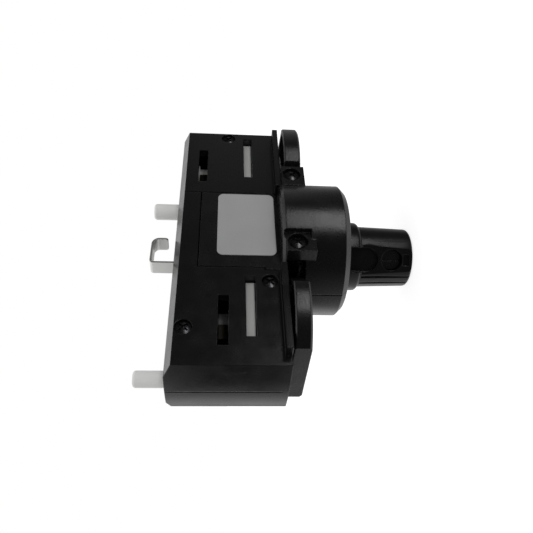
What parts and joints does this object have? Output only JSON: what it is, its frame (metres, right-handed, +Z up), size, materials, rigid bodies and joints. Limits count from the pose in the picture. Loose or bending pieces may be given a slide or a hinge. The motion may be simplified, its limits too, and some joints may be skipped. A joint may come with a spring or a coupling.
{
  "type": "track light adapter",
  "caption": "Track light adapter: slim moulded body with turning contact rotors, sprung plungers and an earth hook, on a round hub with a cord grip.",
  "frame": {"origin": "middle of the flange's upper face, which rests on the track's lips, over the axis of the cord grip", "axes": "+X along the track, +Z up into the track, +Y across it towards the rear half; the label faces -Y"},
  "size_m": [0.0804, 0.033, 0.0648],
  "materials": {
    "body_plastic": "fine-grained black moulding",
    "hub_plastic": "satin black moulding",
    "nylon": "natural white nylon",
    "nickel": "nickel-plated strip",
    "brass": "darkened brass",
    "steel": "black-oxide steel",
    "label": "matt silver-grey film, left bare",
    "block_plastic": "pale moulding"
  },
  "bodies": {
    "adapter_body": {"front_housing": "body_plastic", "rear_housing": "body_plastic", "hub_front": "hub_plastic", "hub_rear": "hub_plastic", "label": "label", "earth_contact": "nickel", "housing_screws": "steel", "hub_screws": "steel", "terminal_block": "block_plastic", "terminal_screws": "steel", "near_feed_strip": "brass", "far_feed_strip": "brass", "cord_grip": "body_plastic", "grip_nut": "nickel", "cord_clamp_screw": "steel", "near_pin_spring": "steel", "far_pin_spring": "steel"},
    "near_rotor_set": {"near_rotor": "nylon", "near_contact": "brass", "near_knob": "hub_plastic", "near_knob_screw": "steel"},
    "far_rotor_set": {"far_rotor": "nylon", "far_contact": "brass", "far_knob": "hub_plastic", "far_knob_screw": "steel"},
    "near_plunger": {"near_pin": "nylon"},
    "far_plunger": {"far_pin": "nylon"}
  },
  "joints": [
    {"name": "near_turn", "type": "hinge", "parent": "adapter_body", "child": "near_rotor_set", "pos_m": [-0.02275, 0, 0], "axis": [0, 0, 1], "range_deg": [0, 90]},
    {"name": "far_turn", "type": "hinge", "parent": "adapter_body", "child": "far_rotor_set", "pos_m": [0.02735, 0, 0], "axis": [0, 0, 1], "range_deg": [0, 90]},
    {"name": "near_press", "type": "slide", "parent": "adapter_body", "child": "near_plunger", "axis": [0, 0, -1], "range_m": [0, 0.0035], "stiffness_N_per_m": 600, "springref_m": -0.002, "deforming": ["near_pin_spring"]},
    {"name": "far_press", "type": "slide", "parent": "adapter_body", "child": "far_plunger", "axis": [0, 0, -1], "range_m": [0, 0.0035], "stiffness_N_per_m": 600, "springref_m": -0.002, "deforming": ["far_pin_spring"]}
  ]
}
